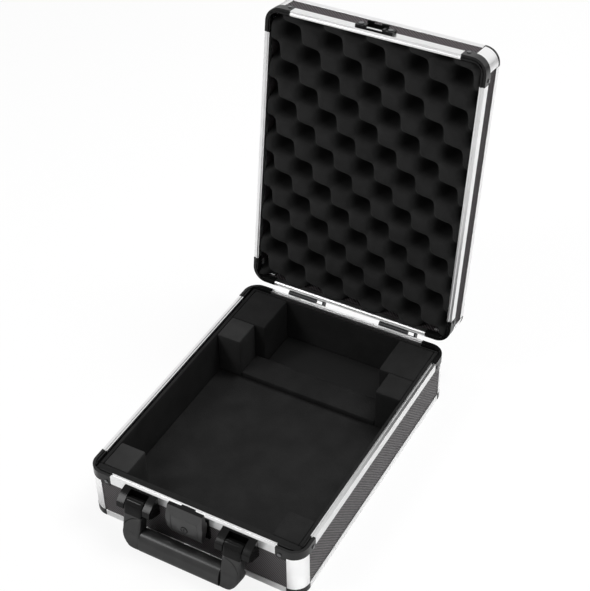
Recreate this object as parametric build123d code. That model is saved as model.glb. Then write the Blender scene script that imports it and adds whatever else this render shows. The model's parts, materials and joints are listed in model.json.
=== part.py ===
"""Flat sampler case lying open: a tray with fitted foam, a lid lined with egg-crate
foam, two stop hinges, a fold-down handle and a sprung lock latch.

Sizes are in millimetres. +X is the case's right, +Y runs to its hinges and +Z is up.
The origin is the middle of the base's underside. The lid is built shut and then
swung open about the hinge pins.
"""

import os
from math import cos, radians, sin

from build123d import *

# Outside of the case
case_width = 260.0
case_depth = 350.0
base_height = 66.0
lid_height = 38.0
corner_radius = 17.5
open_angle = 98.4

# Boards and the metal that joins them
board_thickness = 4.0
board_inset = 1.0
rim_width = 5.75
rim_height = 11.0
rim_web = 3.0
rim_inner_height = 8.0
trim_width = 8.0
trim_thickness = 1.0
fit_gap = 0.1
closing_gap = 0.1

# Weather groove in the base rim and the tongue on the lid rim
groove_offset = 3.0
groove_width = 1.6
groove_depth = 2.0
tongue_width = 1.0
tongue_height = 1.5

# Plastic corner pieces
corner_leg = 30.0
corner_proud = 0.3
corner_inner_radius = 3.0
lug_length = 11.4
lug_drop = 3.0
lug_screw_offset = 25.0
lug_screw_drop = 9.0
base_cap_height = 8.0
lid_cap_height = 3.5
cap_leg = 0.9
cap_wall = 2.4

# Corner posts
post_wall = 1.6
post_clasp = 6.0

# Small screws that hold the corner pieces
small_screw_radius = 1.3
small_head_radius = 2.2
small_head_height = 0.8
small_screw_bite = 3.0

# Foam
foam_below_rim = 2.5
lining_gap = 0.2
lining_side = 4.2
lining_front = 8.2
lining_rear = 2.2
foam_floor_thickness = 3.0
pad_inner = 88.0
pad_length = 35.5
block_inner = 75.0
block_length = 56.0
ledge_height = 8.0
foam_gap = 0.1

# Egg-crate foam in the lid
egg_pitch_x = 50.7
egg_pitch_y = 45.8
egg_origin_x = 1.0
egg_origin_y = 12.3
egg_foot_radius = 16.0
egg_tip_radius = 5.0
egg_slab_thickness = 19.0
egg_tip_gap = 0.5

# Hinges
hinge_offset = 3.4
hinge_spacing = 121.0
hinge_length = 37.0
hinge_knuckles = 5
knuckle_radius = 2.6
knuckle_gap = 0.2
hinge_pin_radius = 1.0
leaf_thickness = 1.2
leaf_height = 9.5
leaf_edge_gap = 0.15
leaf_wing = 11.0
rivet_radius = 1.5
rivet_head_radius = 2.6
rivet_head_height = 0.9
rivet_drop = 6.5
rivet_spacing = 13.0

# Stop arms of the hinges
stop_arm_offset = 27.2
stop_arm_thickness = 2.0
stop_arm_height = 9.0
stop_heel_top = 6.0
stop_heel_bottom = 10.0
stop_gap = 0.05

# Handle brackets
bracket_spacing = 120.0
bracket_width = 41.0
bracket_plate = 2.0
bracket_top_drop = 1.0
bracket_height = 25.0
bracket_shoulder = 9.0
bracket_brow = 18.0
bracket_nose = 19.0
bracket_chin = 13.0
bracket_shoulder_drop = 2.0
bracket_brow_drop = 8.0
bracket_nose_drop = 15.0
bracket_chin_rise = 5.0

# Handle
pivot_reach = 12.5
pivot_rise = 12.0
pivot_pin_radius = 2.5
pivot_pin_inset = 2.0
arm_width = 22.0
arm_side_gap = 0.5
arm_front = 7.0
arm_foot_front = 8.5
arm_crown = 2.0
arm_rear = 6.0
arm_heel = 11.9
arm_heel_drop = 6.0
arm_waist_drop = 13.2
arm_shoulder = 7.2
grip_drop = 40.85
grip_radius = 10.5
grip_rise = 6.0
elbow_radius = 22.0
handle_lean = 11.7
core_width = 12.0
core_thickness = 4.0
core_bite = 10.0
hub_step = 18

# Latch
latch_width_top = 42.0
latch_width_middle = 44.8
latch_width_bottom = 38.0
latch_overlap = 10.0
latch_height = 41.0
latch_middle = 23.0
latch_wall = 1.6
latch_front_wall = 2.0
latch_reach_top = 9.8
latch_reach = 13.5
latch_reach_bottom = 9.2
latch_belly_low = 10.0
latch_belly_high = 27.0
latch_skirt_bottom = 13.0
latch_skirt_top = 28.5
latch_chin_reach = 6.5
latch_skirt_reach = 3.3
latch_catch_gap = 0.3
latch_ramp = 2.0
nose_width = 16.0
nose_bar_gap = 0.3
nose_height = 3.5
nose_wall_gap = 0.3

# Latch housing, pin and spring
housing_width = 46.0
housing_foot_gap = 1.0
housing_height = 28.5
housing_plate = 1.5
ear_spacing = 34.0
ear_thickness = 3.0
ear_height = 10.0
latch_pin_reach = 7.0
latch_pin_drop = 11.0
latch_pin_radius = 1.0
latch_spring_radius = 3.0
latch_spring_wall = 0.8
spring_lock_gap = 2.1
spring_seat_reach = 8.0
boss_margin = 0.5

# Lock
lock_pin_gap = 0.6
lock_plate_width = 32.0
lock_plate_rise = 3.0
lock_plate_height = 26.6
lock_plate_thickness = 0.8
lock_plate_gap = 0.2
lock_rose_radius = 4.3
lock_rose_height = 0.6
lock_radius = 3.4
lock_proud = 0.4
lock_rear_reach = 5.6
key_slot_width = 0.8
key_slot_length = 4.0
key_slot_depth = 4.0
cam_width = 4.0
cam_length = 8.0
cam_thickness = 1.2

# Catch on the lid
catch_width = 44.0
catch_brow_thickness = 2.0
catch_ear_thickness = 4.0
catch_box_width = 25.0
catch_box_depth = 5.0
catch_cavity_width = 19.0
catch_back_wall = 1.0
catch_brow_gap = 0.35
catch_brow_depth = 7.0
catch_notch_width = 9.0
catch_bar_radius = 1.0
catch_bar_height = 2.5
catch_bar_wall_gap = 0.2
catch_bar_bite = 1.5
catch_screw_spacing = 34.6
catch_screw_height = 5.5
catch_head_height = 0.8

# Larger screws from the inside, and their fit
screw_radius = 1.5
screw_head_radius = 3.0
screw_head_height = 1.4
bracket_screw_inset = 4.0
bracket_screw_low = 4.5
bracket_screw_high = 13.0
bracket_screw_bite = 8.0
housing_screw_spacing = 24.0
housing_screw_low = 5.0
housing_screw_high = 17.0
hole_gap = 0.05
seat_gap = 0.02
running_gap = 0.05

# Places worked out from the sizes above
half_width = case_width / 2
half_depth = case_depth / 2
front = -half_depth
board_inner = board_inset + board_thickness
floor_top = trim_thickness + board_thickness
post_inner = board_inner + fit_gap + post_wall
hinge_y = half_depth + hinge_offset
hinge_z = base_height
hinge_centres = (-hinge_spacing / 2, hinge_spacing / 2)
lining_outer_x = half_width - post_inner - lining_gap
lining_outer_y = half_depth - post_inner - lining_gap
lining_inner_x = lining_outer_x - lining_side
lining_front_y = -lining_outer_y + lining_front
lining_rear_y = lining_outer_y - lining_rear
block_front_y = lining_rear_y - block_length
pivot_y = front - pivot_reach
foam_top = base_height - foam_below_rim
bracket_bottom = base_height - bracket_top_drop - bracket_height
bracket_slot = arm_width + 2 * arm_side_gap
pivot_height = bracket_bottom + pivot_rise
latch_top = base_height + latch_overlap
latch_bottom = latch_top - latch_height
latch_top_reach = catch_box_depth + latch_catch_gap
latch_pin_height = base_height - latch_pin_drop
housing_bottom = latch_bottom + housing_foot_gap
nose_bottom = base_height + catch_bar_height + catch_bar_radius + nose_bar_gap
nose_reach = catch_back_wall + nose_wall_gap
lock_height = latch_pin_height - latch_pin_radius - lock_pin_gap - lock_radius
lock_plate_bottom = latch_bottom + lock_plate_rise
spring_height = lock_height - lock_radius - spring_lock_gap - latch_spring_radius
catch_low = base_height + closing_gap / 2
catch_brow_low = latch_top + catch_brow_gap
catch_bar_depth = catch_back_wall + catch_bar_wall_gap + catch_bar_radius
latch_pin_y = front - latch_pin_reach
bracket_centres = (-bracket_spacing / 2, bracket_spacing / 2)
both_sides = (-1, 1)


def block(x, y, z):
    """Box between pairs of limits."""
    size = [high - low for low, high in (x, y, z)]
    middle = [(high + low) / 2 for low, high in (x, y, z)]
    return Pos(*middle) * Box(*size)


def rod_x(radius, span, y, z):
    """Round bar along X."""
    return Pos((span[0] + span[1]) / 2, y, z) * Rot(0, 90, 0) * Cylinder(radius, span[1] - span[0])


def rod_y(radius, span, x, z):
    """Round bar along Y."""
    return Pos(x, (span[0] + span[1]) / 2, z) * Rot(90, 0, 0) * Cylinder(radius, span[1] - span[0])


def rod_z(radius, span, x, y):
    """Round bar along Z."""
    return Pos(x, y, (span[0] + span[1]) / 2) * Cylinder(radius, span[1] - span[0])


def prism_x(outline, span):
    """Side outline of (y, z) points, drawn out along X."""
    edge = Polyline(*[(span[0], y, z) for y, z in outline], close=True)
    return extrude(make_face(edge), amount=span[1] - span[0], dir=(1, 0, 0))


def prism_y(outline, span):
    """Front outline of (x, z) points, drawn out along Y."""
    edge = Polyline(*[(x, span[0], z) for x, z in outline], close=True)
    return extrude(make_face(edge), amount=span[1] - span[0], dir=(0, 1, 0))


def joined(shapes):
    """One body out of several that touch."""
    shapes = list(shapes)
    return shapes[0].fuse(*shapes[1:]) if len(shapes) > 1 else shapes[0]


def turned(shape, y, z, angle):
    """The shape turned about the line along X through (y, z)."""
    return Pos(0, y, z) * Rot(angle, 0, 0) * Pos(0, -y, -z) * shape


# Frames of the four sides and the four corners. In a side's frame X runs along the
# side and Y inward from its outer face. In a corner's frame X and Y both run inward.
side_places = {
    "front": Pos(0, -half_depth, 0),
    "rear": Pos(0, half_depth, 0) * Rot(0, 0, 180),
    "right": Pos(half_width, 0, 0) * Rot(0, 0, 90),
    "left": Pos(-half_width, 0, 0) * Rot(0, 0, -90),
}
side_halves = {"front": half_width, "rear": half_width, "right": half_depth, "left": half_depth}
corner_places = [
    Pos(-half_width, -half_depth, 0),
    Pos(half_width, -half_depth, 0) * Rot(0, 0, 90),
    Pos(half_width, half_depth, 0) * Rot(0, 0, 180),
    Pos(-half_width, half_depth, 0) * Rot(0, 0, 270),
]


# Shells. Base and lid are the same tray, built with its outer face down at z = 0.


def round_corner(offset, reach, z):
    """Corner block whose outer faces lie `offset` inside the case, out to `reach`."""
    return joined([
        block((corner_radius, reach), (offset, reach), z),
        block((offset, reach), (corner_radius, reach), z),
        rod_z(corner_radius - offset, z, corner_radius, corner_radius)
        & block((offset, corner_radius), (offset, corner_radius), z),
    ])


def corner_ring(outer, inner, z):
    """Quarter of a ring about the corner's centre, between two distances from outside."""
    quarter = block((outer, corner_radius), (outer, corner_radius), z)
    ring = rod_z(corner_radius - outer, z, corner_radius, corner_radius)
    ring -= rod_z(corner_radius - inner, z, corner_radius, corner_radius)
    return ring & quarter


def tray_floor():
    """Floor board, rebated along its edges for the metal trims."""
    board = block(
        (-half_width + board_inner + fit_gap, half_width - board_inner - fit_gap),
        (-half_depth + board_inner + fit_gap, half_depth - board_inner - fit_gap),
        (trim_thickness, floor_top),
    )
    board = fillet(board.edges().filter_by(Axis.Z), corner_radius - board_inner - fit_gap)
    foot = block(
        (-half_width + trim_width + fit_gap, half_width - trim_width - fit_gap),
        (-half_depth + trim_width + fit_gap, half_depth - trim_width - fit_gap),
        (0, trim_thickness),
    )
    foot = fillet(foot.edges().filter_by(Axis.Z), corner_radius - trim_width - fit_gap)
    return joined([board, foot])


def lug_screw(half, side, height, radius, outer):
    """Shank-shaped bar at one corner screw of a side, from `outer` into the board."""
    x = side * (half - lug_screw_offset)
    return rod_y(radius, (outer, board_inset + small_screw_bite), x, height - lug_screw_drop)


def side_board(side_name, height):
    """Wall board of one side, held between rim, trim and posts."""
    half = side_halves[side_name]
    end = half - corner_radius - fit_gap
    board = block((-end, end), (board_inset, board_inner), (trim_thickness, height - rim_web))
    for side in both_sides:
        board -= lug_screw(half, side, height, small_screw_radius + hole_gap, 0)
    return side_places[side_name] * board


def rim_band(x, height, tongue):
    """Closing strip of one side: a channel over the board with a groove or a tongue."""
    top = height - closing_gap / 2
    rim = joined([
        block(x, (0, board_inset), (height - rim_height, top)),
        block(x, (0, rim_width), (height - rim_web, top)),
        block(x, (board_inner, rim_width), (height - rim_inner_height, top)),
    ])
    if tongue:
        middle = groove_offset + groove_width / 2
        sides = (middle - tongue_width / 2, middle + tongue_width / 2)
        return joined([rim, block(x, sides, (top, top + tongue_height))])
    return rim - block(x, (groove_offset, groove_offset + groove_width), (top - groove_depth, top))


def side_rim(side_name, height, tongue):
    """Metal rim between two corner pieces."""
    end = side_halves[side_name] - corner_leg - fit_gap
    return side_places[side_name] * rim_band((-end, end), height, tongue)


def rim_corner(height, tongue):
    """Plastic corner piece of the rim, with a screw lug on each leg."""
    top = height - closing_gap / 2
    skirt = (height - rim_height, top)
    web = (height - rim_web, top)
    inside = block((rim_width, corner_leg), (rim_width, corner_leg), web)
    pocket = round_corner(board_inset, corner_leg, (skirt[0], web[0]))
    corner = round_corner(-corner_proud, corner_leg, skirt) - pocket - inside
    far = rim_width + corner_inner_radius
    brace = block((rim_width, far), (rim_width, far), web)
    brace -= rod_z(corner_inner_radius, web, far, far)
    low = (height - rim_inner_height, web[0])
    flange = block((board_inner, corner_leg), (board_inner, corner_leg), low)
    flange -= block((rim_width, corner_leg), (rim_width, corner_leg), low)
    lug_x = (corner_radius + fit_gap, corner_radius + fit_gap + lug_length)
    lug_z = (skirt[0] - lug_drop, skirt[0])
    lugs = [
        block(lug_x, (-corner_proud, board_inset), lug_z),
        block((-corner_proud, board_inset), lug_x, lug_z),
    ]
    corner = joined([corner, brace, flange] + lugs)
    if tongue:
        ridge = (top, top + tongue_height)
        middle = groove_offset + groove_width / 2
        outer = middle - tongue_width / 2
        inner = middle + tongue_width / 2
        tongue_band = round_corner(outer, corner_leg, ridge) - round_corner(inner, corner_leg, ridge)
        corner = joined([corner, tongue_band])
    else:
        trench = (top - groove_depth, top)
        groove = round_corner(groove_offset, corner_leg, trench)
        groove -= round_corner(groove_offset + groove_width, corner_leg, trench)
        corner -= groove
    z = height - lug_screw_drop
    reach = (-corner_proud, board_inset)
    hole = rod_y(small_screw_radius + hole_gap, reach, lug_screw_offset, z)
    other = rod_x(small_screw_radius + hole_gap, reach, lug_screw_offset, z)
    return corner - hole - other


def corner_post(height, cap_height):
    """Rounded metal corner with two clasps that hold the ends of the boards."""
    top = height - rim_height - fit_gap
    shell = corner_ring(0, post_wall, (cap_height, top))
    z = (max(cap_height, floor_top), top)
    web = (corner_radius - post_wall, corner_radius)
    clasp = (corner_radius - post_wall, corner_radius + post_clasp)
    back = (board_inner + fit_gap, post_inner)
    deep = (post_wall / 2, post_inner)
    return joined([
        shell,
        block(web, deep, z),
        block(deep, web, z),
        block(clasp, back, z),
        block(back, clasp, z),
    ])


def corner_cap(cap_height):
    """Plastic cap under the foot of a corner post."""
    z = (0, cap_height)
    sole = (0, trim_thickness)
    legs = (corner_radius, corner_radius + cap_leg)
    cheek = (-corner_proud, board_inset)
    return joined([
        corner_ring(-corner_proud, cap_wall - corner_proud, z),
        corner_ring(-corner_proud, trim_width, sole),
        block(legs, cheek, z),
        block(cheek, legs, z),
        block(legs, (-corner_proud, trim_width), sole),
        block((-corner_proud, trim_width), legs, sole),
    ])


def edge_trim(side_name):
    """Metal angle along the outer edge of one side."""
    end = side_halves[side_name] - corner_radius - cap_leg - fit_gap
    x = (-end, end)
    angle = joined([
        block(x, (0, board_inset), (0, trim_width)),
        block(x, (0, trim_width), (0, trim_thickness)),
    ])
    return side_places[side_name] * angle


def corner_screws(height):
    """Screws through the lugs of the corner pieces."""
    screws = []
    for side_name, place in side_places.items():
        half = side_halves[side_name]
        for side in both_sides:
            shank = lug_screw(half, side, height, small_screw_radius, -corner_proud)
            x = side * (half - lug_screw_offset)
            head_span = (-corner_proud - small_head_height, -corner_proud)
            head = rod_y(small_head_radius, head_span, x, height - lug_screw_drop)
            screws.append(place * joined([shank, head]))
    return screws


def tray(height, cap_height, tongue):
    """All pieces of one shell, as lists of solids by name."""
    pieces = {"board_main": [tray_floor()]}
    for side_name in side_places:
        pieces["board_" + side_name] = [side_board(side_name, height)]
    pieces["rims"] = [side_rim(side_name, height, tongue) for side_name in side_places]
    corner = rim_corner(height, tongue)
    post = corner_post(height, cap_height)
    cap = corner_cap(cap_height)
    pieces["rim_corners"] = [place * corner for place in corner_places]
    pieces["corner_posts"] = [place * post for place in corner_places]
    pieces["corner_caps"] = [place * cap for place in corner_places]
    pieces["edge_trims"] = [edge_trim(side_name) for side_name in side_places]
    pieces["corner_screws"] = corner_screws(height)
    return pieces


def shut(shape):
    """A piece of the lid's tray, turned over onto the base."""
    return Pos(0, 0, base_height + lid_height) * Rot(180, 0, 0) * shape


# Foam in the base


def foam_lining():
    """Strips of foam that stand along the four walls."""
    z = (floor_top, foam_top)
    long_x = (-lining_outer_x, lining_outer_x)
    side_y = (lining_front_y + foam_gap, lining_rear_y - foam_gap)
    return [
        block(long_x, (-lining_outer_y, lining_front_y), z),
        block(long_x, (lining_rear_y, lining_outer_y), z),
        block((-lining_outer_x, -lining_inner_x), side_y, z),
        block((lining_inner_x, lining_outer_x), side_y, z),
    ]


def foam_floor():
    """Thin sheet under the bay, the pads and the ledge."""
    x = lining_inner_x - foam_gap
    return block((-x, x), (lining_front_y + foam_gap, block_front_y - foam_gap),
                 (floor_top, floor_top + foam_floor_thickness))


def foam_pads():
    """Corner pads that hold the instrument's four corners."""
    z = (floor_top + foam_floor_thickness, foam_top)
    front_y = (lining_front_y + foam_gap, lining_front_y + pad_length)
    rear_y = (block_front_y - pad_length, block_front_y - foam_gap)
    outer = lining_inner_x - foam_gap
    return {
        "foam_pad_front_left": block((-outer, -pad_inner), front_y, z),
        "foam_pad_front_right": block((pad_inner, outer), front_y, z),
        "foam_pad_rear_left": block((-outer, -pad_inner), rear_y, z),
        "foam_pad_rear_right": block((pad_inner, outer), rear_y, z),
    }


def foam_block(side):
    """Tall block beside the rear pocket."""
    x = sorted((side * block_inner, side * (lining_inner_x - foam_gap)))
    return block(x, (block_front_y, lining_rear_y - foam_gap), (floor_top, foam_top))


def foam_ledge():
    """Low bar between the rear pads."""
    low = floor_top + foam_floor_thickness
    x = pad_inner - foam_gap
    return block((-x, x), (block_front_y - pad_length, block_front_y - foam_gap), (low, low + ledge_height))


def egg_crate():
    """Lid foam: a slab with staggered rows of blunt cones."""
    x = lining_outer_x
    y = lining_outer_y
    top = base_height + lid_height - floor_top
    face = top - egg_slab_thickness
    tip = base_height + closing_gap + egg_tip_gap
    slab = block((-x, x), (-y, y), (face, top))
    bumps = []
    columns = int(case_width / egg_pitch_x) + 1
    rows = int(case_depth / egg_pitch_y) + 1
    for column in range(-columns, columns + 1):
        for row in range(-rows, rows + 1):
            cone_x = egg_origin_x + column * egg_pitch_x / 2
            cone_y = egg_origin_y + row * egg_pitch_y / 2
            staggered = (column + row) % 2 == 0
            inside = abs(cone_x) < x and abs(cone_y) < y
            if staggered and inside:
                cone = Cone(egg_tip_radius, egg_foot_radius, face - tip)
                bumps.append(Pos(cone_x, cone_y, (face + tip) / 2) * cone)
    outline = block((-x, x), (-y, y), (tip, top))
    return slab.fuse(*bumps) & outline


# Hinges


def knuckle_spans(centre, first):
    """Spans along X of every second knuckle of a hinge."""
    pitch = hinge_length / hinge_knuckles
    start = centre - hinge_length / 2
    return [
        (start + index * pitch + knuckle_gap / 2, start + (index + 1) * pitch - knuckle_gap / 2)
        for index in range(first, hinge_knuckles, 2)
    ]


def hinge_leaf(centre, first, up, bore_gap):
    """Leaf below (up = -1) or above (up = 1) the hinge line, with its own knuckles."""
    edge = hinge_z + up * leaf_edge_gap
    x = (centre - hinge_length / 2, centre + hinge_length / 2 + leaf_wing)
    z = sorted((edge, edge + up * leaf_height))
    leaf = block(x, (half_depth, half_depth + leaf_thickness), z)
    neck_z = sorted((edge, hinge_z + up * knuckle_radius))
    pieces = [leaf]
    for span in knuckle_spans(centre, first):
        pieces.append(rod_x(knuckle_radius, span, hinge_y, hinge_z))
        pieces.append(block(span, (half_depth, hinge_y), neck_z))
    leaf = joined(pieces)
    for low, high in knuckle_spans(centre, 1 - first):
        leaf -= rod_x(knuckle_radius + knuckle_gap, (low - knuckle_gap, high + knuckle_gap), hinge_y, hinge_z)
    bore = (centre - hinge_length / 2, centre + hinge_length / 2)
    return leaf - rod_x(hinge_pin_radius + bore_gap, bore, hinge_y, hinge_z)


def stop_arm(centre):
    """Arm on the lid leaf whose heel meets the base leaf when the lid is open."""
    x = centre + stop_arm_offset
    span = (x - stop_arm_thickness / 2, x + stop_arm_thickness / 2)
    face_y = half_depth + leaf_thickness
    heel_y = face_y + stop_gap
    low = leaf_edge_gap + stop_gap
    opened_heel = [(heel_y, hinge_z - stop_heel_top), (heel_y, hinge_z - stop_heel_bottom)]
    pin = Vector(0, hinge_y, hinge_z)
    heel = []
    for y, z in opened_heel:
        point = (Vector(0, y, z) - pin).rotate(Axis.X, open_angle) + pin
        heel.append((point.Y, point.Z))
    outline = [
        (face_y, hinge_z + low),
        heel[0],
        heel[1],
        (heel[1][0], hinge_z + stop_arm_height / 2),
        (face_y, hinge_z + stop_arm_height),
    ]
    return prism_x(outline, span)


def rivets(up, bore=0.0):
    """Rivets through the leaves, the rim and the rear board; bore makes their holes."""
    solids = []
    z = hinge_z + up * rivet_drop
    inner = half_depth - board_inner
    face = half_depth + leaf_thickness
    for centre in hinge_centres:
        for step in (-1, 0, 1):
            x = centre + step * rivet_spacing
            shank = rod_y(rivet_radius + bore, (inner, face), x, z)
            if bore:
                solids.append(shank)
            else:
                head = rod_y(rivet_head_radius, (face, face + rivet_head_height), x, z)
                solids.append(joined([shank, head]))
    return solids


# Handle


def inside_screw(x, z, tip, bore=0.0):
    """Screw from the inside of the front board, out to the plane y = tip."""
    inner = front + board_inner
    shank = rod_y(screw_radius + bore, (tip, inner), x, z)
    if bore:
        return shank
    return joined([shank, rod_y(screw_head_radius, (inner, inner + screw_head_height), x, z)])


def bracket_screws(bore=0.0):
    """Four screws into each bracket's cheeks."""
    reach = bracket_width / 2 - bracket_screw_inset
    tip = front - bracket_screw_bite
    return [
        inside_screw(centre + side * reach, bracket_bottom + rise, tip, bore)
        for centre in bracket_centres
        for side in both_sides
        for rise in (bracket_screw_low, bracket_screw_high)
    ]


def handle_bracket(centre):
    """Bracket with two cheeks that carry one arm's pivot pin."""
    top = bracket_bottom + bracket_height
    outline = [
        (front, top),
        (front - bracket_shoulder, top - bracket_shoulder_drop),
        (front - bracket_brow, top - bracket_brow_drop),
        (front - bracket_nose, top - bracket_nose_drop),
        (front - bracket_chin, bracket_bottom + bracket_chin_rise),
        (front, bracket_bottom),
    ]
    half = bracket_width / 2
    x = (centre - half, centre + half)
    slot = (centre - bracket_slot / 2, centre + bracket_slot / 2)
    bracket = prism_x(outline, x)
    bracket -= block(slot, (front - bracket_nose, front - bracket_plate), (bracket_bottom, top))
    step = base_height - rim_height - fit_gap
    pad = block(x, (front, front + board_inset), (bracket_bottom, step))
    bore = (x[0] + pivot_pin_inset - fit_gap, x[1] - pivot_pin_inset + fit_gap)
    bracket = joined([bracket, pad]) - rod_x(pivot_pin_radius + seat_gap, bore, pivot_y, pivot_height)
    return bracket


def pivot_pin(centre):
    """Steel pin across one bracket."""
    half = bracket_width / 2 - pivot_pin_inset
    return rod_x(pivot_pin_radius, (centre - half, centre + half), pivot_y, pivot_height)


def handle_core(gap=0.0):
    """Steel strip inside the grip, let into both arms; gap makes its pocket."""
    end = bracket_spacing / 2 - arm_width / 2 + core_bite + gap
    y = core_thickness / 2 + gap
    z = core_width / 2 + gap
    centre = pivot_height - grip_drop + grip_rise / 2
    return block((-end, end), (pivot_y - y, pivot_y + y), (centre - z, centre + z))


def oval_bar(x):
    """Upright oval bar along the range x: the grip's section, rounded at both ends."""
    low = pivot_height - grip_drop
    high = low + grip_rise
    middle = block(x, (pivot_y - grip_radius, pivot_y + grip_radius), (low, high))
    return joined([middle, rod_x(grip_radius, x, pivot_y, low), rod_x(grip_radius, x, pivot_y, high)])


def handle_arm(side):
    """Arm hanging straight down, with hub, stop heel and rounded elbow."""
    centre = side * bracket_spacing / 2
    x = (centre - arm_width / 2, centre + arm_width / 2)
    grip_z = pivot_height - grip_drop
    stop_reach = pivot_reach - bracket_plate - fit_gap
    brow = arm_front - arm_crown
    hub = [
        (-arm_crown - brow * cos(radians(turn)), stop_reach * sin(radians(turn)))
        for turn in range(0, 91, hub_step)
    ]
    points = [
        (-arm_foot_front, -grip_drop),
        (-arm_foot_front, grip_rise - grip_drop),
        (-arm_front, -arm_waist_drop),
        *hub,
        (0, stop_reach),
        (arm_shoulder, arm_shoulder),
        (stop_reach, 0),
        (arm_heel, -arm_heel_drop),
        (arm_rear, -arm_waist_drop),
        (arm_rear, -grip_drop),
    ]
    arm = prism_x([(pivot_y + t, pivot_height + h) for t, h in points], x)
    bottom = grip_z - grip_radius
    nose = (pivot_y - grip_radius - arm_heel, pivot_y - arm_foot_front)
    foot = oval_bar(x) - block(x, nose, (bottom, pivot_height))
    arm = joined([arm, foot])
    outer = centre + side * arm_width / 2
    bend_x = outer - side * elbow_radius
    depth = (pivot_y - grip_radius - arm_heel, pivot_y + grip_radius + arm_heel)
    waste = block(sorted((outer, bend_x)), depth, (bottom, bottom + elbow_radius))
    waste -= rod_y(elbow_radius, depth, bend_x, bottom + elbow_radius)
    arm -= waste
    arm -= handle_core(running_gap)
    return arm - rod_x(pivot_pin_radius + running_gap, x, pivot_y, pivot_height)


def handle_grip():
    """Oval grip between the arms, moulded over the core."""
    end = bracket_spacing / 2 - arm_width / 2 - fit_gap
    return oval_bar((-end, end)) - handle_core(running_gap)


def hung(shape):
    """A piece of the handle, leaned outward to the angle where its heel stops it."""
    return turned(shape, pivot_y, pivot_height, -handle_lean)


# Latch


def latch_outline(inset=0.0):
    """Side outline of the latch cover's front, moved back by inset."""
    return [
        (front - latch_reach_top + inset, latch_top),
        (front - latch_reach + inset, latch_bottom + latch_belly_high),
        (front - latch_reach + inset, latch_bottom + latch_belly_low),
        (front - latch_reach_bottom + inset, latch_bottom),
    ]


def latch_block(inset=0.0):
    """Solid of the cover with its stepped rear edge, front moved back by inset."""
    top = latch_top
    rear = [
        (front - latch_chin_reach, latch_bottom),
        (front - latch_skirt_reach, latch_bottom + latch_skirt_bottom),
        (front - latch_skirt_reach, latch_bottom + latch_skirt_top),
        (front - latch_top_reach, latch_bottom + latch_skirt_top + latch_ramp),
        (front - latch_top_reach, top),
    ]
    half = latch_width_middle / 2
    return prism_x(latch_outline(inset) + rear, (-half, half))


def latch_face(gap):
    """Front outline of the cover, drawn in by gap and run through its depth."""
    top = latch_top
    outline = []
    for side in both_sides:
        edge = [
            (side * (latch_width_bottom / 2 - gap), latch_bottom + gap),
            (side * (latch_width_middle / 2 - gap), latch_bottom + latch_middle),
            (side * (latch_width_top / 2 - gap), top - gap),
        ]
        outline += edge if side > 0 else edge[::-1]
    return prism_y(outline, (front - latch_reach, front))


def latch_solid(inset, z_low, z_high, half):
    """Block behind the cover's front outline, cut off between two heights."""
    points = [(y, min(max(z, z_low), z_high)) for y, z in latch_outline(inset)]
    return prism_x(points + [(front, z_low), (front, z_high)], (-half, half))


def lock_layer(gap):
    """Outermost skin of the cover where the lock plate sits."""
    top = latch_top
    half = lock_plate_width / 2 + gap
    skin = latch_solid(0, latch_bottom, top, half)
    skin -= latch_solid(lock_plate_thickness, latch_bottom, top, half)
    z = (lock_plate_bottom - gap, lock_plate_bottom + lock_plate_height + gap)
    return skin & block((-half, half), (front - latch_reach, front), z)


def latch_cover():
    """Hollow rocker: press its foot inward and the nose at its head lets go."""
    inside = (latch_bottom + latch_wall, latch_top - latch_wall)
    hollow = latch_solid(latch_front_wall, *inside, latch_width_middle)
    cover = (latch_block() & latch_face(0)) - (hollow & latch_face(latch_wall))
    nose_z = (nose_bottom, nose_bottom + nose_height)
    nose = block((-nose_width / 2, nose_width / 2), (front - latch_reach, front - nose_reach), nose_z)
    seat = (front - latch_reach, front - spring_seat_reach)
    boss = rod_y(latch_spring_radius + boss_margin, seat, 0, spring_height)
    cover = joined([cover, (nose + boss) & latch_solid(0, latch_bottom, latch_top, nose_width)])
    cover -= lock_layer(lock_plate_gap)
    cover -= rod_y(lock_radius + running_gap, (front - latch_reach, front), 0, lock_height)
    pin = (-latch_width_top / 2, latch_width_top / 2)
    return cover - rod_x(latch_pin_radius + running_gap, pin, latch_pin_y, latch_pin_height)


def lock_plate():
    """Plate let into the cover's face round the lock."""
    return lock_layer(0) - rod_y(lock_radius + running_gap, (front - latch_reach, front), 0, lock_height)


def lock_rose():
    """Raised ring round the key hole."""
    span = (front - latch_reach - lock_rose_height, front - latch_reach)
    ring = rod_y(lock_rose_radius, span, 0, lock_height)
    return ring - rod_y(lock_radius + running_gap, span, 0, lock_height)


def lock_cylinder():
    """Turning core of the lock with its key slot."""
    face = front - latch_reach - lock_proud
    core = rod_y(lock_radius, (face, front - lock_rear_reach), 0, lock_height)
    slot_x = (-key_slot_width / 2, key_slot_width / 2)
    slot_z = (lock_height - key_slot_length / 2, lock_height + key_slot_length / 2)
    return core - block(slot_x, (face, face + key_slot_depth), slot_z)


def lock_cam():
    """Short lever on the rear end of the lock cylinder."""
    span = (front - lock_rear_reach, front - lock_rear_reach + cam_thickness)
    lever = block((0, cam_length), span, (lock_height - cam_width / 2, lock_height + cam_width / 2))
    return joined([rod_y(lock_radius, span, 0, lock_height), lever])


def latch_pin():
    """Pin through the housing's ears and the cover's sides."""
    half = latch_width_top / 2 - fit_gap
    return rod_x(latch_pin_radius, (-half, half), latch_pin_y, latch_pin_height)


def latch_spring():
    """Envelope of the coil spring behind the cover's foot."""
    span = (front - spring_seat_reach, front - housing_plate)
    inner = latch_spring_radius - latch_spring_wall
    return rod_y(latch_spring_radius, span, 0, spring_height) - rod_y(inner, span, 0, spring_height)


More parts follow.
